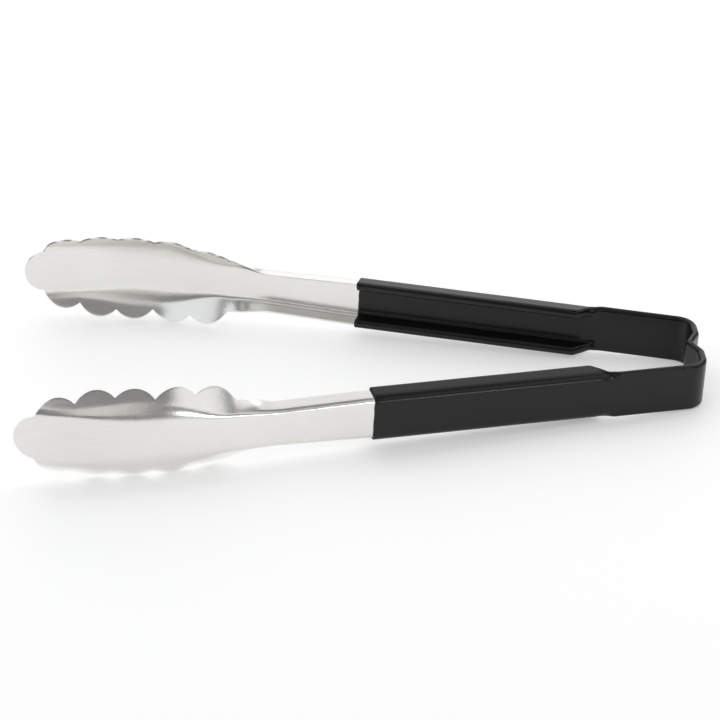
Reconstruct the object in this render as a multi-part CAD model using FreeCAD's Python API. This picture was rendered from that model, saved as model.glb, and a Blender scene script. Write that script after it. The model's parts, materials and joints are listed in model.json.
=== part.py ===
import FreeCAD, Part
import math
import os

# Spring loaded kitchen tongs: one bent strip of stainless sheet with a dipped vinyl grip coat.
#
# The model is built in the tongs' own plane first: X runs along the length, with the bridge's back at
# x = 0 and the heads towards -X, Y is across (near arm -Y, far arm +Y) and Z is along the strip's
# width, with its middle at z = 0. At the end the whole object is tipped a little about Y, so that it
# lies on both heads and on the bridge's lower edge, with z = 0 at the surface that it lies on.
#
# Sizes are in millimetres and angles in degrees. "Station" means the distance along an arm's sheet,
# from the sharp corner that the straight arm would make with the bridge's back.

V = FreeCAD.Vector

# ---- driving dimensions ------------------------------------------------------------------------

LENGTH = 305.0            # overall length, bridge to tips
SHEET = 0.9               # steel thickness
COAT = 1.15               # grip coat thickness on each face and edge
ARM_ANGLE = 13.0          # each arm's angle from the tongs' centre line, relaxed
CORNER_HALF = 20.8        # half of the bridge's width, between the sharp corners

CREASE_DEPTH = 4.2        # depth of the V pressed into the bridge, towards the heads
CREASE_HALF = 8.3         # half of the V's width
CREASE_RADIUS = 1.6       # bend radius at the bottom of the V
BEND_RADIUS = 3.6         # bend radius where the V meets the bridge's flat
CORNER_RADIUS = 8.0       # bend radius of the bridge's two corners

LEAF_HALF = 10.2          # half of the flat strip's width, at the bridge and the leaves
LEAF_WEB = 5.7            # the fold bends start at this distance from the middle, at the leaf's end
HINGE_STATION = 21.6      # middle of the flat spring leaf, where an arm flexes
STEEL_SLIT = 0.2          # clearance between the arm's and the bridge's steel at the flex line
COAT_SLIT = 0.8           # the same between their coats, room for the thicker section to turn
FOLD_START = 40.0         # end of the flat leaf: its edges start to fold here
FOLD_FULL = 50.0          # the edges are fully folded from here
FLANGE_START = 44.0       # the flanges' free edges rise from here
FLANGE_FULL = 53.0        # the flanges have their full height from here
COAT_END = 154.0          # end of the grip coat

HANDLE_WEB = 7.5          # half of the handle's flat web, between the fold bends
TAPER_START = 156.0       # past the grip coat, the web narrows evenly from here to the neck
SHANK_WEB = 6.6           # half of the flat web at the neck
SHANK_FOLD = 84.0         # fold angle of the shank's flanges
SHANK_BEND = 2.2          # fold bend radius in the shank
SHANK_FLANGE = 5.5        # straight height of the shank's flanges
NECK_START = 194.0        # the flanges start to open out here
NECK_END = 216.0          # the head's wings start here

HEAD_WEB = 6.4            # half of the head's flat web, up to its widest part
TIP_WEB = 10.0            # half of the flat web at the tip
TIP_WIDENS = 256.0        # the web widens and the fold bends get sharper from here
TIP_WIDE = 290.0          # up to here
HEAD_FOLD = 46.0          # fold angle of the head's wings
HEAD_BEND = 15.0          # fold bend radius in the head
HEAD_FULL = 246.0         # the head has its full section from here
TIP_FLATTENS = 270.0      # the wings flatten towards the tip from here
TIP_FOLD = 42.0           # fold angle that is left at the tip
TIP_BEND = 6.5            # fold bend radius at the tip
CURL_START = 236.3        # the head curls inwards from here to the tip

TIP_RADIUS = 10.2         # radius of the round lobe at the tip
LOBE_PITCH = 16.95        # distance between the valleys of the scalloped edge
LOBE_RISES = (4.5, 3.5, 3.2, 3.4, 3.0)    # height of each lobe over its two valleys, from the tip
# half-widths of the head at the valleys, from the tip's lobe to the neck
VALLEY_HALF_WIDTHS = (10.1, 16.2, 18.4, 17.6, 17.2, 14.0)

# ---- values that follow from them --------------------------------------------------------------

HALF_SHEET = SHEET / 2
HALF_COATED = HALF_SHEET + COAT
SLOPE = math.radians(ARM_ANGLE)
BACK_X = -HALF_COATED     # mid-thickness of the steel at the bridge's back
# the curl ends at the tip, where it has turned as far inwards as the arm stood outwards
CURL_START_X = CURL_START * math.cos(SLOPE)
CURL_RADIUS = (LENGTH + BACK_X - CURL_START_X) / (2 * math.sin(SLOPE))
CURL_END = CURL_START + CURL_RADIUS * 2 * SLOPE
SPARE_WING = 16.0         # wing left on for the scalloped outline to cut
TIP_CENTRE_X = -LENGTH + TIP_RADIUS
FIRST_VALLEY_X = TIP_CENTRE_X - math.sqrt(TIP_RADIUS ** 2 - VALLEY_HALF_WIDTHS[0] ** 2)


def smooth(value, start, end):
    """0 before start, 1 after end, and a smooth rise between."""
    t = min(max((value - start) / (end - start), 0.0), 1.0)
    return t * t * (3 - 2 * t)


# ---- the far arm's sheet: its path and its cross-section -----------------------------------------

def path_point(station):
    """Middle of the web at a station, with the direction towards the tip and the inward normal."""
    run = min(station, CURL_START)
    x = BACK_X - run * math.cos(SLOPE)
    y = CORNER_HALF + run * math.sin(SLOPE)
    angle = SLOPE
    if station > CURL_START:
        angle = SLOPE - (station - CURL_START) / CURL_RADIUS
        x -= CURL_RADIUS * (math.sin(SLOPE) - math.sin(angle))
        y += CURL_RADIUS * (math.cos(angle) - math.cos(SLOPE))
    along = V(-math.cos(angle), math.sin(angle), 0)
    inward = V(-math.sin(angle), -math.cos(angle), 0)
    return V(x, y, 0), along, inward


def section_shape(station):
    """Half web width, length round the bend, fold angle (radians) and straight wing length."""
    folded = smooth(station, FOLD_START, FOLD_FULL)
    rise = smooth(station, FLANGE_START, FLANGE_FULL)
    neck = smooth(station, NECK_START, NECK_END)
    open_out = smooth(station, NECK_END, HEAD_FULL)
    widen = smooth(station, TIP_WIDENS, TIP_WIDE)
    tip = smooth(station, TIP_FLATTENS, CURL_END)
    taper = min(max((station - TAPER_START) / (NECK_START - TAPER_START), 0.0), 1.0)
    web = LEAF_WEB + (HANDLE_WEB - LEAF_WEB) * folded + (SHANK_WEB - HANDLE_WEB) * taper
    web += (HEAD_WEB - SHANK_WEB) * open_out
    web += (TIP_WEB - HEAD_WEB) * widen
    bend = SHANK_BEND * math.radians(SHANK_FOLD)
    bend += (HEAD_BEND * math.radians(HEAD_FOLD) - bend) * open_out
    bend += (TIP_BEND * math.radians(TIP_FOLD) - bend) * widen
    fold = SHANK_FOLD * folded + (HEAD_FOLD - SHANK_FOLD) * neck + (TIP_FOLD - HEAD_FOLD) * tip
    leaf_wing = LEAF_HALF - web - bend
    wing = leaf_wing + (SHANK_FLANGE - leaf_wing) * rise
    wing += SPARE_WING * smooth(station, NECK_END, NECK_END + 1.5)
    return web, bend, math.radians(fold), wing


def half_section(station, extra):
    """Distance across, depth inwards and tilt, at the bend's start, middle and end and at the edge."""
    web, bend, angle, wing = section_shape(station)
    points = []
    for share in (0.0, 0.5, 1.0):
        turn = angle * share
        if angle > 0:
            radius = bend / angle
            points.append((web + radius * math.sin(turn), radius * (1 - math.cos(turn)), turn))
        else:
            points.append((web + bend * share, 0.0, 0.0))
    z, depth, _ = points[-1]
    reach = wing + extra
    points.append((z + reach * math.cos(angle), depth + reach * math.sin(angle), angle))
    return points


def sheet_points(station, offset, extra=0.0):
    """Corners of the sheet's section, offset to one side of its middle, from -Z edge to +Z edge."""
    centre, _, inward = path_point(station)
    half = half_section(station, extra)
    points = []
    for side, part in ((-1, half[::-1]), (1, half)):
        for z, depth, turn in part:
            across = z - offset * math.sin(turn)
            inwards = depth + offset * math.cos(turn)
            points.append(centre + inward * inwards + V(0, 0, side * across))
    return points


def bend_edge(start, middle, end, folded):
    if folded:
        return Part.Arc(start, middle, end).toShape()
    return Part.LineSegment(start, end).toShape()


def sheet_edges(points, folded):
    """Wing, bend, web, bend and wing along the eight corners of one side of the sheet."""
    return [
        Part.LineSegment(points[0], points[1]).toShape(),
        bend_edge(points[1], points[2], points[3], folded),
        Part.LineSegment(points[3], points[4]).toShape(),
        bend_edge(points[4], points[5], points[6], folded),
        Part.LineSegment(points[6], points[7]).toShape(),
    ]


def steel_wire(station):
    outer = sheet_points(station, -HALF_SHEET)
    inner = sheet_points(station, HALF_SHEET)
    folded = station > FOLD_START
    edges = sheet_edges(outer, folded)
    edges.append(Part.LineSegment(outer[-1], inner[-1]).toShape())
    edges += sheet_edges(inner[::-1], folded)
    edges.append(Part.LineSegment(inner[0], outer[0]).toShape())
    return Part.Wire(edges)


def coat_wire(station):
    """Outline of the coated sheet: the offset sheet with a round cap over each edge."""
    inset = COAT - HALF_COATED
    outer = sheet_points(station, -HALF_COATED, inset)
    inner = sheet_points(station, HALF_COATED, inset)
    cap_far = sheet_points(station, 0.0, COAT)
    folded = station > FOLD_START
    edges = sheet_edges(outer, folded)
    edges.append(Part.Arc(outer[-1], cap_far[-1], inner[-1]).toShape())
    edges += sheet_edges(inner[::-1], folded)
    edges.append(Part.Arc(inner[0], cap_far[0], outer[0]).toShape())
    return Part.Wire(edges)


def stations(start, end):
    """Stations for a loft: close together where the section changes, wide apart where it doesn't."""
    marks = [start]
    spans = ((FOLD_START, 1), (FLANGE_FULL, 10), (TAPER_START, 1), (NECK_START, 1))
    spans += ((NECK_END, 8), (NECK_END + 1.5, 1), (CURL_END, 20))
    low = start
    for high, count in spans:
        top = min(high, end)
        if top <= low:
            continue
        for step in range(1, count + 1):
            marks.append(low + (top - low) * step / count)
        low = top
    if end > low:
        marks.append(end)
    return marks


def loft(wire_at, start, end):
    return Part.makeLoft([wire_at(station) for station in stations(start, end)], True, True)


# ---- the scalloped outline ------------------------------------------------------------------------

def lobe(start, end, rise):
    """Arc from one valley to the next, bulging outwards by rise."""
    chord = end - start
    out = V(-chord.y, chord.x, 0)
    if out.y * (start.y + end.y) < 0:
        out = out * -1
    out.normalize()
    return Part.Arc(start, (start + end) * 0.5 + out * rise, end).toShape()


def head_prism():
    """Block that keeps the head inside its scalloped outline, seen square to the web."""
    valleys = []
    for index, half_width in enumerate(VALLEY_HALF_WIDTHS):
        valleys.append(V(FIRST_VALLEY_X + LOBE_PITCH * index, half_width, 0))
    neck_x = valleys[-1].x
    wide = 40.0
    edges = [Part.Arc(V(valleys[0].x, -valleys[0].y, 0), V(-LENGTH, 0, 0), valleys[0]).toShape()]
    for side in (1, -1):
        points = [V(p.x, side * p.y, 0) for p in valleys]
        for start, end, rise in zip(points, points[1:], LOBE_RISES):
            edges.append(lobe(start, end, rise))
        corner = V(neck_x + 7, side * wide, 0)
        edges.append(Part.LineSegment(points[-1], corner).toShape())
        edges.append(Part.LineSegment(corner, V(0, side * wide, 0)).toShape())
    edges.append(Part.LineSegment(V(0, wide, 0), V(0, -wide, 0)).toShape())
    outline = Part.Wire(Part.__sortEdges__(edges))
    prism = Part.Face(outline).extrude(V(0, 0, 200))
    # drawn flat in XY, then stood up so that the outline lies in XZ and the block runs along Y
    prism.rotate(V(0, 0, 0), V(1, 0, 0), 90)
    prism.translate(V(0, 160, 0))
    return prism


# ---- the bridge: crease, flats, corners and the inner halves of the leaves ---------------------------

def bridge_path():
    """Half of the strip's middle line: from the crease to the flex line of the far leaf."""
    crease = V(BACK_X - CREASE_DEPTH, 0, 0)
    shoulder = V(BACK_X, CREASE_HALF, 0)
    corner = path_point(0)[0]
    leaf_end = path_point(HINGE_STATION)[0]
    return [crease, shoulder, corner, leaf_end]


def rounded_line(points, radii):
    """Straight runs through the points, with a tangent arc of the given radius at each inner one."""
    edges = []
    last = points[0]
    for before, point, after, radius in zip(points, points[1:], points[2:], radii):
        back = (before - point).normalize()
        ahead = (after - point).normalize()
        half_turn = (math.pi - back.getAngle(ahead)) / 2
        reach = radius * math.tan(half_turn)
        middle_way = (back + ahead).normalize()
        to_centre = radius / math.cos(half_turn)
        start = point + back * reach
        middle = point + middle_way * (to_centre - radius)
        end = point + ahead * reach
        edges.append(Part.LineSegment(last, start).toShape())
        edges.append(Part.Arc(start, middle, end).toShape())
        last = end
    edges.append(Part.LineSegment(last, points[-1]).toShape())
    return edges


def bridge_block(half_thickness, half_width, slit):
    """The bridge's strip at a given thickness and width, ending short of both flex lines."""
    half = bridge_path()
    along = (half[3] - half[2]).normalize()
    half[3] = half[3] - along * (slit / 2)
    mirrored = [V(p.x, -p.y, 0) for p in half[:0:-1]]
    points = mirrored + half
    radii = (CORNER_RADIUS, BEND_RADIUS, CREASE_RADIUS, BEND_RADIUS, CORNER_RADIUS)
    wire = Part.Wire(rounded_line(points, radii))
    outer = wire.makeOffset2D(half_thickness, 0, False, True)
    inner = wire.makeOffset2D(-half_thickness, 0, False, True)
    ends = []
    for index in (0, -1):
        first = outer.OrderedVertexes[index].Point
        last = inner.OrderedVertexes[index].Point
        ends.append(Part.LineSegment(first, last).toShape())
    outline = Part.Wire(Part.__sortEdges__(outer.Edges + inner.Edges + ends))
    face = Part.Face(outline)
    face.translate(V(0, 0, -half_width))
    return face.extrude(V(0, 0, 2 * half_width))


def rounded_along(block, half_width, radius):
    """Round the block's long edges, which run along the strip at its top and bottom."""
    long_edges = []
    for edge in block.Edges:
        heights = [abs(vertex.Z) for vertex in edge.Vertexes]
        level = abs(edge.Vertexes[0].Z - edge.Vertexes[-1].Z) < 1e-6
        is_end = edge.Length < 2 * HALF_COATED + 1e-3 and edge.Curve.TypeId == "Part::GeomLine"
        if level and abs(heights[0] - half_width) < 1e-6 and not is_end:
            long_edges.append(edge)
    return block.makeFillet(radius, long_edges)


# ---- the sub-parts --------------------------------------------------------------------------------------

def arm_steel():
    untrimmed = loft(steel_wire, HINGE_STATION + STEEL_SLIT / 2, CURL_END + 2)
    return untrimmed.common(head_prism())


def arm_coat(steel):
    envelope = loft(coat_wire, HINGE_STATION + COAT_SLIT / 2, COAT_END)
    return envelope.cut(steel)


def bridge_steel():
    return bridge_block(HALF_SHEET, LEAF_HALF, STEEL_SLIT)


def bridge_coat(steel):
    half_width = LEAF_HALF + COAT
    block = bridge_block(HALF_COATED, half_width, COAT_SLIT)
    return rounded_along(block, half_width, 1.2).cut(steel)


def mirrored(shape):
    return shape.mirror(V(0, 0, 0), V(0, 1, 0))


def tipped_box(shapes, tilt):
    """Bounding box of the shapes when tipped about Y by tilt degrees."""
    turn = FreeCAD.Placement(V(0, 0, 0), FreeCAD.Rotation(V(0, 1, 0), tilt))
    box = FreeCAD.BoundBox()
    for shape in shapes:
        turned = shape.copy()
        turned.Placement = turn.multiply(turned.Placement)
        box.add(turned.optimalBoundingBox())
    return box


def resting_placement(head, bridge, shapes):
    """Tip the tongs about Y until head and bridge are equally low, and centre them on z = 0."""
    level, steep = 0.0, 6.0
    for _ in range(14):
        tilt = (level + steep) / 2
        if tipped_box([head], tilt).ZMin < tipped_box([bridge], tilt).ZMin:
            level = tilt
        else:
            steep = tilt
    box = tipped_box(shapes, tilt)
    rotation = FreeCAD.Rotation(V(0, 1, 0), tilt)
    return FreeCAD.Placement(V(-box.Center.x, -box.Center.y, -box.ZMin), rotation), tilt


def main():
    os.makedirs("parts", exist_ok=True)
    far_steel = arm_steel()
    far_coat = arm_coat(far_steel)
    middle_steel = bridge_steel()
    nodes = {
        "bridge_steel": middle_steel,
        "bridge_coat": bridge_coat(middle_steel),
        "far_arm_steel": far_steel,
        "far_handle_coat": far_coat,
        "near_arm_steel": mirrored(far_steel),
        "near_handle_coat": mirrored(far_coat),
    }
    placement, tilt = resting_placement(far_steel, nodes["bridge_coat"], nodes.values())
    for name, shape in nodes.items():
        placed = shape.copy()
        placed.Placement = placement.multiply(placed.Placement)
        placed.exportStep(os.path.join("parts", name + ".step"))
        print(name, "volume mm3", round(placed.Volume, 1), "solids", len(placed.Solids), placed.isValid())
    for side, name in ((1, "far"), (-1, "near")):
        hinge = path_point(HINGE_STATION)[0]
        hinge.y *= side
        print(name, "flex line", placement.multVec(hinge))
    print("tilt", tilt, "curl radius", CURL_RADIUS)


main()
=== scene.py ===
import json
import math

import bpy
from mathutils import Matrix, Vector, noise


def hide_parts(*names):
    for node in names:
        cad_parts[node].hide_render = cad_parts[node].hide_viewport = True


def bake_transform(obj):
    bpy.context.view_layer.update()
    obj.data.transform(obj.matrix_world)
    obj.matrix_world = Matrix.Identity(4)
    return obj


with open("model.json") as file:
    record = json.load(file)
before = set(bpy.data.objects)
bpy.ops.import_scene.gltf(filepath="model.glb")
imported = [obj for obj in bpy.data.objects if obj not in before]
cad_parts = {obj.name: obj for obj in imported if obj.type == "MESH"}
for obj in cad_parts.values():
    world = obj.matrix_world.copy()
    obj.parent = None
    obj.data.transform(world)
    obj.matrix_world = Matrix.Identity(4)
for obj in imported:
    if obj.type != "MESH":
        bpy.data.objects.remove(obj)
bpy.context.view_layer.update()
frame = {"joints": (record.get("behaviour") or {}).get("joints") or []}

# Spring loaded kitchen tongs: one bent strip of stainless sheet with a dipped vinyl grip coat.
#
# Both halves of the strip are meshed in the tongs' own plane, in millimetres: X along the length
# with the bridge's back at 0 and the heads towards -X, Y across, Z along the strip's width. Then
# they are placed in the frame. "Distance" runs along the strip from the crease at the middle of
# the bridge, and "station" from the sharp corner that the straight arm would make with the
# bridge's back. "Developed" lengths are measured in the sheet, as if it were flattened out.

MM = 0.001

# ---- the object's dimensions, millimetres and degrees -------------------------------------------

LENGTH = 305.0
SHEET = 0.9
COAT = 1.15
ARM_ANGLE = 13.0          # between each open arm and the centre line
CORNER_HALF = 20.8        # from the centre line to the sharp corner of bridge and arm

CREASE_DEPTH = 4.2        # the V pressed into the middle of the bridge
CREASE_HALF = 8.3
CREASE_RADIUS = 1.6
BEND_RADIUS = 3.6         # where the V meets the bridge's flat back
CORNER_RADIUS = 8.0

LEAF_HALF = 10.2          # half-width of the bridge and the flat leaf
LEAF_WEB = 5.7            # half-widths of the web, here and below
HINGE_STATION = 21.6      # middle of the leaf
FOLD_START = 40.0         # the leaf's sides fold up between these two stations
FOLD_FULL = 50.0
FLANGE_START = 44.0       # the flanges grow to their full height between these two
FLANGE_FULL = 53.0
COAT_END = 154.0          # the grip coat ends here

HANDLE_WEB = 7.5
TAPER_START = 156.0       # from here to the neck the bare shank narrows
SHANK_WEB = 6.6
SHANK_FOLD = 84.0         # fold angles, here and below
SHANK_BEND = 2.2          # radii of the folds, here and below
SHANK_FLANGE = 5.5
NECK_START = 194.0        # the flanges open out into the head's wings between these two
NECK_END = 216.0

HEAD_WEB = 6.4
TIP_WEB = 10.0
TIP_WIDENS = 256.0        # the web widens between these two
TIP_WIDE = 290.0
HEAD_FOLD = 46.0
HEAD_BEND = 15.0
HEAD_FULL = 246.0         # by here the web and the fold's radius are the head's own
TIP_FLATTENS = 270.0      # from here to the tip the fold opens to the tip's own
TIP_FOLD = 42.0
TIP_BEND = 6.5
CURL_START = 236.3        # the head curls inwards from here to the tip

TIP_RADIUS = 10.2         # the round lobe at the tip
LOBE_PITCH = 16.95        # along the head, from each valley between two lobes to the next

# from the tip towards the neck
LOBE_RISES = (4.5, 3.5, 3.2, 3.4, 3.0)
VALLEY_HALF_WIDTHS = (10.1, 16.2, 18.4, 17.6, 17.2, 14.0)

HALF_SHEET = SHEET / 2
HALF_COATED = HALF_SHEET + COAT
SLOPE = math.radians(ARM_ANGLE)
BACK_X = -HALF_COATED
CURL_START_X = CURL_START * math.cos(SLOPE)
CURL_RADIUS = (LENGTH + BACK_X - CURL_START_X) / (2 * math.sin(SLOPE))
CURL_END = CURL_START + CURL_RADIUS * 2 * SLOPE
TIP_CENTRE_X = -LENGTH + TIP_RADIUS
FIRST_VALLEY_X = TIP_CENTRE_X - math.sqrt(TIP_RADIUS ** 2 - VALLEY_HALF_WIDTHS[0] ** 2)


def smooth(value, start, end):
    """0 before start, 1 after end, and a smooth rise between."""
    t = min(max((value - start) / (end - start), 0.0), 1.0)
    return t * t * (3 - 2 * t)


def mix(a, b, share):
    """The value at a share of the way from a to b."""
    return a + (b - a) * share


# ---- the tongs' own plane, placed in the frame --------------------------------------------------

def arm_point(station):
    """Middle of the far arm's web at a station: x, y, heading."""
    run = min(station, CURL_START)
    x = BACK_X - run * math.cos(SLOPE)
    y = CORNER_HALF + run * math.sin(SLOPE)
    angle = SLOPE
    if station > CURL_START:
        angle = SLOPE - (station - CURL_START) / CURL_RADIUS
        x -= CURL_RADIUS * (math.sin(SLOPE) - math.sin(angle))
        y += CURL_RADIUS * (math.cos(angle) - math.cos(SLOPE))
    return x, y, math.pi - angle


def placement():
    """Matrix from the tongs' own plane, in millimetres, to the frame, in metres."""
    joint = next(j for j in frame["joints"] if j["name"] == "far_arm_flex")
    axis = Vector(joint["axis"])
    turn = Matrix.Rotation(math.atan2(axis.x, axis.z), 4, "Y")
    x, y, _ = arm_point(HINGE_STATION)
    lift = Vector(joint["pos_m"]) - turn @ (Vector((x, y, 0)) * MM)
    return Matrix.Translation(lift) @ turn @ Matrix.Scale(MM, 4)


PLACE = placement()


# ---- the strip's path ---------------------------------------------------------------------------

def bridge_runs():
    """Runs from the crease to the leaf: length, curvature (0 if straight, left turns positive)."""
    side = math.hypot(CREASE_DEPTH, CREASE_HALF)
    lean = math.atan2(CREASE_DEPTH, CREASE_HALF)
    corner_turn = math.pi / 2 - SLOPE
    side -= CREASE_RADIUS * math.tan(lean) + BEND_RADIUS * math.tan(lean / 2)
    flat = CORNER_HALF - CREASE_HALF
    flat -= BEND_RADIUS * math.tan(lean / 2) + CORNER_RADIUS * math.tan(corner_turn / 2)
    return [
        (CREASE_RADIUS * lean, -1 / CREASE_RADIUS),
        (side, 0.0),
        (BEND_RADIUS * lean, 1 / BEND_RADIUS),
        (flat, 0.0),
        (CORNER_RADIUS * corner_turn, 1 / CORNER_RADIUS),
    ]


RUNS = bridge_runs()
CORNER_END_STATION = CORNER_RADIUS * math.tan((math.pi / 2 - SLOPE) / 2)
STATION_ZERO = sum(length for length, _ in RUNS) - CORNER_END_STATION


def strip_point(distance):
    """Middle of the far half's strip at a distance from the crease: x, y, heading."""
    station = distance - STATION_ZERO
    if station >= CORNER_END_STATION:
        return arm_point(station)
    lean = math.atan2(CREASE_DEPTH, CREASE_HALF)
    x = BACK_X - CREASE_DEPTH + CREASE_RADIUS * (1 / math.cos(lean) - 1)
    y = 0.0
    heading = math.pi / 2
    left = distance
    for length, curvature in RUNS:
        step = min(left, length)
        if curvature:
            end = heading + step * curvature
            x += (math.sin(end) - math.sin(heading)) / curvature
            y -= (math.cos(end) - math.cos(heading)) / curvature
            heading = end
        else:
            x += step * math.cos(heading)
            y += step * math.sin(heading)
        left -= step
        if left <= 0:
            break
    return x, y, heading


# ---- the strip's cross-section ------------------------------------------------------------------

FLAT = 1e-6               # fold angle, in radians, below which the section counts as flat


def section_shape(station):
    """Half of the web's width, length round the bend, fold angle (radians), wing's length."""
    folded = smooth(station, FOLD_START, FOLD_FULL)
    rise = smooth(station, FLANGE_START, FLANGE_FULL)
    neck = smooth(station, NECK_START, NECK_END)
    open_out = smooth(station, NECK_END, HEAD_FULL)
    widen = smooth(station, TIP_WIDENS, TIP_WIDE)
    tip = smooth(station, TIP_FLATTENS, CURL_END)
    taper = min(max((station - TAPER_START) / (NECK_START - TAPER_START), 0.0), 1.0)
    web = mix(LEAF_WEB, HANDLE_WEB, folded) + (SHANK_WEB - HANDLE_WEB) * taper
    web += (HEAD_WEB - SHANK_WEB) * open_out
    web += (TIP_WEB - HEAD_WEB) * widen
    bend = SHANK_BEND * math.radians(SHANK_FOLD)
    bend = mix(bend, HEAD_BEND * math.radians(HEAD_FOLD), open_out)
    bend = mix(bend, TIP_BEND * math.radians(TIP_FOLD), widen)
    fold = SHANK_FOLD * folded + (HEAD_FOLD - SHANK_FOLD) * neck + (TIP_FOLD - HEAD_FOLD) * tip
    leaf_wing = LEAF_HALF - web - bend
    wing = mix(leaf_wing, SHANK_FLANGE, rise)
    return web, bend, math.radians(fold), wing


def across(shape, t):
    """Height, depth inwards and tilt at a developed distance t from the middle of the web."""
    web, bend, angle, _ = shape
    if t <= web or angle < FLAT:
        return t, 0.0, 0.0
    radius = bend / angle
    turn = min((t - web) / radius, angle)
    z = web + radius * math.sin(turn)
    depth = radius * (1 - math.cos(turn))
    straight = max(t - web - bend, 0.0)
    return z + straight * math.cos(angle), depth + straight * math.sin(angle), turn


def developed(shape, z):
    """Developed distance at which the section reaches height z."""
    web, bend, angle, _ = shape
    if z <= web or angle < FLAT:
        return z
    radius = bend / angle
    end_z = web + radius * math.sin(angle)
    if z <= end_z:
        return web + radius * math.asin((z - web) / radius)
    return web + bend + (z - end_z) / math.cos(angle)


def sheet_point(distance, t, offset, side):
    """Point at developed distance t, offset inwards from the middle surface; side is 1 or -1."""
    x, y, heading = strip_point(distance)
    z, depth, tilt = across(section_shape(distance - STATION_ZERO), abs(t))
    sign = 1 if t >= 0 else -1
    depth += offset * math.cos(tilt)
    z = (z - offset * math.sin(tilt)) * sign
    inward_x, inward_y = -math.sin(heading), math.cos(heading)
    return Vector((x + inward_x * depth, (y + inward_y * depth) * side, z))


# ---- the scalloped outline, in developed coordinates --------------------------------------------

def arc_through(start, end, rise, steps):
    """Points of an arc from start to end that bulges out by rise, without its first point."""
    chord = (end - start).length
    radius = (chord * chord / 4 + rise * rise) / (2 * rise)
    half_angle = math.asin(chord / 2 / radius)
    out = Vector((start.y - end.y, end.x - start.x)).normalized()
    if out.y < 0:
        out = -out
    centre = (start + end) / 2 - out * (radius - rise)
    along = (end - start).normalized()
    points = []
    for step in range(1, steps + 1):
        angle = mix(-half_angle, half_angle, step / steps)
        outwards = out * (radius * math.cos(angle))
        points.append(centre + outwards + along * (radius * math.sin(angle)))
    return points


SOLVER_STEPS = 30


def to_developed(point):
    """Distance and developed half-width of a point of the outline, which is seen square on."""
    x, z = point
    station = CURL_START
    for _ in range(SOLVER_STEPS):
        shape = section_shape(station)
        # the outline is the outer face's, which reaches a little further across than the middle
        tilt = across(shape, developed(shape, z))[2]
        t = developed(shape, z - HALF_SHEET * math.sin(tilt))
        depth = across(shape, t)[1]
        centre_x, _, heading = arm_point(station)
        curled = max(0.0, -math.sin(math.pi - heading))
        miss = centre_x - math.sin(heading) * depth - HALF_SHEET * curled - x
        station += miss / -math.cos(heading)
    return station + STATION_ZERO, t


LOBE_STEPS = 12
TIP_ARC_STEPS = 8
TIP_FACE_HALF = math.radians(48)    # half of the tip's arc that the mesh's last row follows


def head_outline():
    """Half of the head's outline, from the neck to the tip's last row: distance, half-width."""
    valleys = []
    for index, half_width in enumerate(VALLEY_HALF_WIDTHS):
        valleys.append(Vector((FIRST_VALLEY_X + LOBE_PITCH * index, half_width)))
    valleys.reverse()
    points = [valleys[0]]
    for start, end, rise in zip(valleys, valleys[1:], LOBE_RISES[::-1]):
        points += arc_through(start, end, rise, LOBE_STEPS)
    first = math.acos((TIP_CENTRE_X - valleys[-1].x) / TIP_RADIUS)
    for step in range(1, TIP_ARC_STEPS + 1):
        angle = mix(first, TIP_FACE_HALF, step / TIP_ARC_STEPS)
        x = TIP_CENTRE_X - TIP_RADIUS * math.cos(angle)
        points.append(Vector((x, TIP_RADIUS * math.sin(angle))))
    return [to_developed(point) for point in points]


# ---- meshes -------------------------------------------------------------------------------------

ARC_STEP = 0.35           # spacing of the rows: round runs of the bridge,
STRAIGHT_STEP = 1.5       # its straight runs and the leaf,
STEEL_FOLD_STEP = 1.0     # the steel where its flanges rise,
COAT_FOLD_STEP = 0.8      # the coat there,
SHANK_STEP = 2.5          # the shank,
NECK_STEP = 1.0           # and the neck
FOLD_MARGIN = 1.0         # the closer rows reach this far past the folding stretch


def spread(start, end, step):
    """Evenly spaced values after start up to end, about step apart."""
    count = max(1, round((end - start) / step))
    return [mix(start, end, index / count) for index in range(1, count + 1)]


def strip_distances(end_station, fold_step):
    """Distances of the rows to a station, close where the strip bends or its section changes."""
    rows = [0.0]
    reached = 0.0
    for length, curvature in RUNS:
        step = ARC_STEP if curvature else STRAIGHT_STEP
        rows += spread(reached, reached + length, step)
        reached += length
    marks = (
        (FOLD_START - FOLD_MARGIN, STRAIGHT_STEP),
        (FLANGE_FULL + FOLD_MARGIN, fold_step),
        (NECK_START, SHANK_STEP),
        (end_station, NECK_STEP),
    )
    for station, step in marks:
        goal = min(station, end_station) + STATION_ZERO
        if goal > reached:
            rows += spread(reached, goal, step)
            reached = goal
    return rows


def row_lead(share, roundness):
    """How far ahead a row runs at a share of its half-width: an easy bulge, or the tip's arc."""
    bulge = (1 - share * share) ** 2
    drop = math.cos(TIP_FACE_HALF)
    arc = (math.sqrt(1 - (share * math.sin(TIP_FACE_HALF)) ** 2) - drop) / (1 - drop)
    return mix(bulge, arc, roundness)


def mesh_object(name, vertices, faces, flip):
    """Smooth object from points in the tongs' own plane; flip turns its faces the other way."""
    mesh = bpy.data.meshes.new(name)
    if flip:
        faces = [face[::-1] for face in faces]
    mesh.from_pydata([PLACE @ v for v in vertices], [], faces)
    mesh.validate()
    mesh.update()
    for polygon in mesh.polygons:
        polygon.use_smooth = True
    obj = bpy.data.objects.new(name, mesh)
    bpy.context.scene.collection.objects.link(obj)
    return obj


def bake_modifiers(obj):
    """Replace the object's mesh with the result of its modifiers."""
    graph = bpy.context.evaluated_depsgraph_get()
    final = bpy.data.meshes.new_from_object(obj.evaluated_get(graph))
    obj.modifiers.clear()
    old = obj.data
    obj.data = final
    bpy.data.meshes.remove(old)
    return obj


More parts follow.
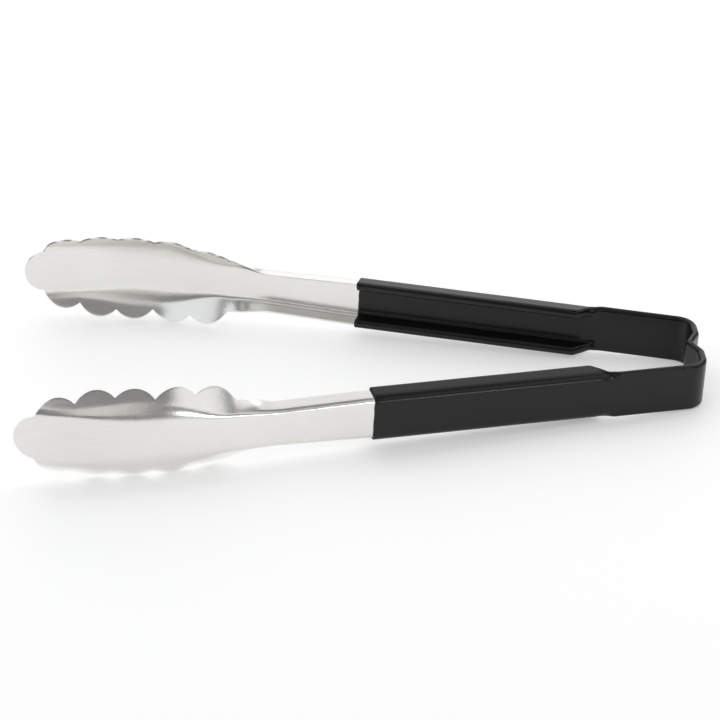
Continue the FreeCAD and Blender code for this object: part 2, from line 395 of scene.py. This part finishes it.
WEB_COLUMNS = 6           # columns over half of the web, over a bend, and from there to the edge
BEND_COLUMNS = 14
WING_COLUMNS = 8
EDGE_ROOM = 0.2           # least share of the half-width that the outermost columns have
ROW_GAP = 0.8             # from the last plain row to the outline's first
LEAD_RUN_UP = 45.0        # the rows start to run ahead at their middle this far past the neck
EDGE_EASE = 0.2           # the sheet's edges are rounded by this much
EDGE_SEGMENTS = 3
EDGE_ANGLE = 80.0         # where its faces meet at more than this many degrees


def column_widths(shape, half_width, envelope):
    """Developed distances of the columns from the middle of the web to the edge."""
    web, bend, _, _ = shape
    fit = min(1.0, (1 - EDGE_ROOM) * envelope / (web + bend))
    widths = [fit * web * index / WEB_COLUMNS for index in range(WEB_COLUMNS + 1)]
    widths += [fit * (web + bend * index / BEND_COLUMNS) for index in range(1, BEND_COLUMNS + 1)]
    core = widths[-1]
    widths += [mix(core, half_width, index / WING_COLUMNS) for index in range(1, WING_COLUMNS + 1)]
    return widths


def strip_rows():
    """Rows of the steel: distance, half-width with and without the lobes, lead, roundness."""
    outline = head_outline()
    rows = []
    for distance in strip_distances(outline[0][0] - STATION_ZERO - ROW_GAP, STEEL_FOLD_STEP):
        web, bend, _, wing = section_shape(distance - STATION_ZERO)
        half_width = web + bend + wing
        rows.append((distance, half_width, half_width, 0.0, 0.0))
    lead_from = outline[0][0] + LEAD_RUN_UP
    last = outline[-1][0]
    tip_lead = to_developed((-LENGTH, 0.0))[0] - last
    tip_valley = len(LOBE_RISES) * LOBE_STEPS
    for index, (distance, half_width) in enumerate(outline):
        envelope = half_width
        if index < tip_valley:
            lobe, step = divmod(index, LOBE_STEPS)
            before, after = outline[lobe * LOBE_STEPS][1], outline[(lobe + 1) * LOBE_STEPS][1]
            envelope = mix(before, after, step / LOBE_STEPS)
        lead = tip_lead * smooth(distance, lead_from, last)
        roundness = max(index - tip_valley, 0) / TIP_ARC_STEPS
        rows.append((distance, half_width, envelope, lead, roundness))
    return rows


def steel_half(name, side):
    """Half of the strip, from the crease to one tip: its middle surface, thickened and eased."""
    rows = strip_rows()
    vertices = []
    for distance, half_width, envelope, lead, roundness in rows:
        widths = column_widths(section_shape(distance - STATION_ZERO), half_width, envelope)
        for t in [-w for w in widths[:0:-1]] + widths:
            ahead = distance + lead * row_lead(t / half_width, roundness)
            vertices.append(sheet_point(ahead, t, 0.0, side))
    faces = []
    width = 2 * (WEB_COLUMNS + BEND_COLUMNS + WING_COLUMNS) + 1
    for row in range(len(rows) - 1):
        for column in range(width - 1):
            a = row * width + column
            faces.append((a, a + 1, a + width + 1, a + width))
    obj = mesh_object(name, vertices, faces, side < 0)
    solid = obj.modifiers.new("thickness", "SOLIDIFY")
    solid.thickness = SHEET * MM
    solid.offset = 0.0
    solid.use_even_offset = True
    ease = obj.modifiers.new("eased_edges", "BEVEL")
    ease.width = EDGE_EASE * MM
    ease.segments = EDGE_SEGMENTS
    ease.limit_method = "ANGLE"
    ease.angle_limit = math.radians(EDGE_ANGLE)
    ease.use_clamp_overlap = True
    return bake_modifiers(obj)


CAP_STEPS = 7
FACE_COLUMNS = 26
LIP_STEPS = 7
LIP_LENGTH = 0.9          # length over which the coat's end rounds down to the steel
LIP_SKIN = 0.02           # what is left of the coat at the lip's end
LINING = 0.015            # clearance of the coat's hidden side from the steel
LINING_STRIDE = 3         # the hidden side has one row for this many on the outside
DIP_SHORT = 0.9           # the dipped coat stops this much short of its full length on the web
DIP_RUN_UP = 25.0         # length over which the rows lean into the dip line's shape
EDGE_RUN_ON = 0.5         # how much further the coat reaches along the flanges' free edges
EDGE_POWER = 5            # and how sharply it does so towards the edge
WOBBLE = 0.25             # unevenness of the dip line, how fast it changes, its noise's place
WOBBLE_RATE = 0.3
WOBBLE_ROW = 3.1
WOBBLE_LAYER = 5.0
THINNING = 0.05           # the same for the coat's thickness
THINNING_RATE = 0.045
THINNING_ROW = 7.3
POOL = 1.2                # extra coat that pools on the inside of the folds and flanges
POOL_REACH = 1.5          # how far it reaches on to the web
NUDGE = 0.01              # small step that gives the direction past the sheet's edge


def coat_loop(distance, skin, side, run):
    """Closed loop round the strip under a coat as thick as skin; run is 1 at the dip line."""
    web, bend, angle, wing = section_shape(distance - STATION_ZERO)
    edge = web + bend + wing
    inner_edge = edge - HALF_SHEET
    offset = HALF_SHEET + skin
    pool = POOL * min(1.0, skin / COAT) * min(1.0, angle)
    marks = []
    for index in range(FACE_COLUMNS + 1):
        marks.append(inner_edge * math.sin(math.pi / 2 * index / FACE_COLUMNS))
    points = []

    def reach(t):
        share = abs(t) / edge
        place = Vector((t * WOBBLE_RATE, side * WOBBLE_ROW, WOBBLE_LAYER))
        wobble = WOBBLE * noise.noise(place)
        return distance + run * (EDGE_RUN_ON * share ** EDGE_POWER - DIP_SHORT + wobble)

    def put_on_face(t, out):
        points.append(sheet_point(reach(t), t, out, side))

    def put_on_cap(t, turn):
        ahead = reach(t)
        base = sheet_point(ahead, t, 0.0, side)
        face = sheet_point(ahead, t, 1.0, side) - base
        past = sheet_point(ahead, t + math.copysign(NUDGE, t), 0.0, side) - base
        past.normalize()
        depth = (offset + pool * max(0.0, math.cos(turn))) * math.cos(turn)
        points.append(base + face * depth + past * (offset * math.sin(turn)))

    for t in [-m for m in marks[:0:-1]] + marks:
        put_on_face(t, -offset)
    for step in range(1, CAP_STEPS):
        put_on_cap(inner_edge, math.pi * (1 - step / CAP_STEPS))
    for t in marks[::-1] + [-m for m in marks[1:]]:
        put_on_face(t, offset + pool * smooth(abs(t), web - POOL_REACH, web + bend / 2))
    for step in range(1, CAP_STEPS):
        put_on_cap(-inner_edge, math.pi * step / CAP_STEPS)
    return points


def uneven(distance, side):
    """Slight thinning of the dipped coat along the strip, in millimetres."""
    wave = noise.noise(Vector((distance * THINNING_RATE, side * THINNING_ROW, 0.0)))
    return THINNING * (wave - 1)


def coat_half(name, side):
    """Grip coat of one half, from the crease to its rounded lip on the shank.

    Its loops run out along the outside, round the lip and back next to the steel.
    """
    end = COAT_END + STATION_ZERO
    rows = strip_distances(COAT_END - LIP_LENGTH, COAT_FOLD_STEP)
    loops = []
    for distance in rows:
        run = smooth(distance, end - DIP_RUN_UP, end)
        loops.append(coat_loop(distance, COAT + uneven(distance, side), side, run))
    for step in range(1, LIP_STEPS + 1):
        angle = math.pi / 2 * step / LIP_STEPS
        distance = end - LIP_LENGTH + LIP_LENGTH * math.sin(angle)
        skin = max((COAT - THINNING) * math.cos(angle), LIP_SKIN)
        loops.append(coat_loop(distance, skin, side, 1.0))
    for distance in rows[::-LINING_STRIDE] + [0.0]:
        run = smooth(distance, end - DIP_RUN_UP, end)
        loops.append(coat_loop(distance, LINING, side, run))
    vertices = [point for loop in loops for point in loop]
    count = len(loops[0])
    faces = []
    for row in range(len(loops)):
        here = row * count
        after = (row + 1) % len(loops) * count
        for column in range(count):
            ahead = (column + 1) % count
            faces.append((here + column, after + column, after + ahead, here + ahead))
    return mesh_object(name, vertices, faces, side < 0)


# ---- materials ----------------------------------------------------------------------------------

class Nodes:
    """Short-hand for building one material's node tree."""

    def __init__(self, name):
        self.material = bpy.data.materials.new(name)
        self.material.use_nodes = True
        self.tree = self.material.node_tree
        self.shader = self.tree.nodes["Principled BSDF"]

    def add(self, kind, **settings):
        node = self.tree.nodes.new(kind)
        for key, value in settings.items():
            setattr(node, key, value)
        return node

    def link(self, source, target):
        self.tree.links.new(source, target)

    def noise(self, rates, detail=3.0, roughness=0.5):
        """Noise with this many waves a metre along each of the object's axes."""
        node = self.add("ShaderNodeTexNoise")
        node.inputs["Scale"].default_value = 1.0
        node.inputs["Detail"].default_value = detail
        node.inputs["Roughness"].default_value = roughness
        place = self.add("ShaderNodeTexCoord")
        mapping = self.add("ShaderNodeMapping")
        mapping.inputs["Scale"].default_value = rates
        self.link(place.outputs["Object"], mapping.inputs["Vector"])
        self.link(mapping.outputs["Vector"], node.inputs["Vector"])
        return node.outputs["Fac"]

    def span(self, source, low, high):
        """The source's range from 0 to 1, moved to low to high."""
        node = self.add("ShaderNodeMapRange")
        node.inputs["To Min"].default_value = low
        node.inputs["To Max"].default_value = high
        self.link(source, node.inputs["Value"])
        return node.outputs["Result"]

    def sum(self, first, second):
        node = self.add("ShaderNodeMath", operation="ADD")
        self.link(first, node.inputs[0])
        self.link(second, node.inputs[1])
        return node.outputs["Value"]

    def ramp(self, source, *stops):
        """Base colour from two stops, each a position and a colour."""
        node = self.add("ShaderNodeValToRGB")
        for element, (position, colour) in zip(node.color_ramp.elements, stops):
            element.position = position
            element.color = colour
        self.link(source, node.inputs["Fac"])
        self.link(node.outputs["Color"], self.shader.inputs["Base Color"])

    def bump(self, height, strength, distance, below=None):
        """Normal with bumps as high as distance, in metres, on top of another's."""
        node = self.add("ShaderNodeBump")
        node.inputs["Strength"].default_value = strength
        node.inputs["Distance"].default_value = distance
        self.link(height, node.inputs["Height"])
        if below is not None:
            self.link(below, node.inputs["Normal"])
        return node.outputs["Normal"]


def steel_material():
    """Stainless sheet with a fine rolled grain along its length, handling marks and cloudiness."""
    m = Nodes("stainless_steel")
    grain = m.noise((60, 900, 900), detail=4.0, roughness=0.6)
    cloud = m.noise((22, 22, 22), detail=2.0)
    speckle = m.noise((1200, 1200, 1200), roughness=0.7)
    rough = m.sum(m.span(grain, -0.04, 0.05), m.span(cloud, 0.15, 0.22))
    m.link(m.sum(rough, m.span(speckle, -0.05, 0.05)), m.shader.inputs["Roughness"])
    tone = m.sum(m.span(cloud, 0.0, 0.6), m.span(grain, 0.0, 0.4))
    m.ramp(tone, (0.3, (0.78, 0.765, 0.735, 1)), (0.7, (0.86, 0.85, 0.825, 1)))
    m.shader.inputs["Metallic"].default_value = 1.0
    fine = m.bump(grain, strength=0.25, distance=0.00002)
    normal = m.bump(speckle, strength=0.5, distance=0.00008, below=fine)
    m.link(normal, m.shader.inputs["Normal"])
    return m.material


def vinyl_material():
    """Dipped black vinyl: satin, with an orange-peel surface, soft clouds of gloss and pores."""
    m = Nodes("black_vinyl")
    peel = m.noise((420, 420, 420), detail=2.0)
    pores = m.noise((2200, 2200, 2200), detail=2.0)
    cloud = m.noise((28, 60, 60))
    rough = m.sum(m.span(cloud, 0.2, 0.27), m.span(pores, -0.03, 0.04))
    m.link(rough, m.shader.inputs["Roughness"])
    m.ramp(cloud, (0.35, (0.006, 0.006, 0.0062, 1)), (0.75, (0.009, 0.009, 0.0092, 1)))
    m.shader.inputs["Specular IOR Level"].default_value = 0.33
    soft = m.bump(peel, strength=0.3, distance=0.00008)
    normal = m.bump(pores, strength=0.12, distance=0.00002, below=soft)
    m.link(normal, m.shader.inputs["Normal"])
    return m.material


def floor_material():
    """White light table: it glows a little, so that shadows stay soft."""
    m = Nodes("pale_floor")
    cloud = m.noise((3, 3, 3))
    m.link(m.span(cloud, 0.55, 0.65), m.shader.inputs["Roughness"])
    m.shader.inputs["Base Color"].default_value = (0.9, 0.9, 0.9, 1)
    m.shader.inputs["Emission Color"].default_value = (1.0, 1.0, 1.0, 1)
    m.shader.inputs["Emission Strength"].default_value = 0.32
    return m.material


# ---- stage, lights and camera -------------------------------------------------------------------

FLOOR_HALF = 4.0          # metres, as for the panels below

# Name, place, the point it faces, width and height, radiance and colour. The heads' wings reflect
# the gap between the left and the right panel.
COOL, WARM, PLAIN = (0.93, 0.97, 1.0), (1.0, 0.97, 0.92), (1.0, 1.0, 1.0)
SOFTBOXES = (
    ("left_panel", (-1.26, -0.3, 1.2), (-1.26, -0.3, 0), (1.6, 2.2), 0.72, COOL),
    ("right_panel", (1.4, -0.3, 1.2), (1.4, -0.3, 0), (1.6, 2.2), 0.75, PLAIN),
    ("low_panel", (1.17, -1.9, 0.52), (0.08, 0, 0), (0.32, 0.4), 7.5, PLAIN),
    ("spot_panel", (-0.03, 0.18, 1.2), (0, 0, 0), (0.2, 0.24), 6.0, PLAIN),
    ("top_panel", (0, 1.0, 1.3), (0, 1.0, 0), (3.2, 1.3), 0.6, PLAIN),
    ("back_panel", (0, 1.9, 0.8), (0, 0, 0), (3.0, 1.2), 0.95, PLAIN),
    ("front_panel", (0, -2.3, 1.6), (0, 0, 0), (1.0, 2.1), 0.5, WARM),
)


def add_floor():
    mesh = bpy.data.meshes.new("floor")
    far = FLOOR_HALF
    corners = [(-far, -far, 0), (far, -far, 0), (far, far, 0), (-far, far, 0)]
    mesh.from_pydata(corners, [], [(0, 1, 2, 3)])
    floor = bpy.data.objects.new("floor", mesh)
    bpy.context.scene.collection.objects.link(floor)
    floor.data.materials.append(floor_material())


def add_world():
    """Dim studio round the softboxes, which the sheet's folds reflect as thin darker lines."""
    bpy.context.scene.view_settings.view_transform = "Standard"
    world = bpy.data.worlds.new("studio")
    bpy.context.scene.world = world
    world.use_nodes = True
    background = world.node_tree.nodes["Background"]
    background.inputs["Color"].default_value = (0.98, 0.98, 1.0, 1)
    background.inputs["Strength"].default_value = 0.25


def add_softbox(name, place, target, size, radiance, colour):
    """Soft panel, whose power follows from its size and how bright its face is."""
    light = bpy.data.lights.new(name, "AREA")
    light.shape = "RECTANGLE"
    light.size, light.size_y = size
    light.energy = math.pi * size[0] * size[1] * radiance
    light.color = colour
    panel = bpy.data.objects.new(name, light)
    bpy.context.scene.collection.objects.link(panel)
    panel.location = place
    panel.rotation_mode = "QUATERNION"
    panel.rotation_quaternion = (Vector(target) - Vector(place)).to_track_quat("-Z", "Y")


CAMERA_ELEVATION = 29.2   # degrees above the tongs' own plane
CAMERA_AZIMUTH = -5.1
CAMERA_ROLL = 3.55
CAMERA_DISTANCE = 1448.6  # millimetres, from the point on the centre line that it looks at
CAMERA_AIM_X = -151.9
CAMERA_LENS = 162.1
CAMERA_SENSOR = 36.0
CAMERA_SHIFT = (-0.0048, -0.0052)


def add_camera():
    """Camera set in the tongs' own plane, then placed in the frame with them."""
    elevation = math.radians(CAMERA_ELEVATION)
    azimuth = math.radians(CAMERA_AZIMUTH)
    roll = math.radians(CAMERA_ROLL)
    back = Vector((
        math.sin(azimuth) * math.cos(elevation),
        -math.cos(azimuth) * math.cos(elevation),
        math.sin(elevation),
    ))
    level = Vector((math.cos(azimuth), math.sin(azimuth), 0))
    upright = back.cross(level)
    right = level * math.cos(roll) + upright * math.sin(roll)
    up = upright * math.cos(roll) - level * math.sin(roll)
    turn = PLACE.to_3x3().normalized()
    axes = Matrix([turn @ right, turn @ up, turn @ back]).transposed()
    place = PLACE @ (Vector((CAMERA_AIM_X, 0, 0)) + back * CAMERA_DISTANCE)
    data = bpy.data.cameras.new("camera")
    data.lens = CAMERA_LENS
    data.sensor_width = CAMERA_SENSOR
    data.shift_x, data.shift_y = CAMERA_SHIFT
    camera = bpy.data.objects.new("camera", data)
    bpy.context.scene.collection.objects.link(camera)
    camera.matrix_world = Matrix.Translation(place) @ axes.to_4x4()
    bpy.context.scene.camera = camera


# ---- assembly -----------------------------------------------------------------------------------

def flex_span(side):
    """Start and end of the stretch that bends, along the flat leaf, in the frame."""
    start_x, start_y, _ = arm_point(CORNER_END_STATION)
    end_x, end_y, _ = arm_point(FOLD_START - FOLD_MARGIN)
    return PLACE @ Vector((start_x, start_y * side, 0)), PLACE @ Vector((end_x, end_y * side, 0))


def main():
    steel = steel_material()
    vinyl = vinyl_material()
    for side, arm in ((-1, "near"), (1, "far")):
        start, end = flex_span(side)
        strip = steel_half(arm + "_half_strip", side)
        strip.data.materials.append(steel)
        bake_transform(strip)
        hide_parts(arm + "_arm_steel", "bridge_steel")
        coat = coat_half(arm + "_half_grip_coat", side)
        coat.data.materials.append(vinyl)
        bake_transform(coat)
        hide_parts(arm + "_handle_coat", "bridge_coat")
    add_floor()
    add_world()
    for softbox in SOFTBOXES:
        add_softbox(*softbox)
    add_camera()


main()
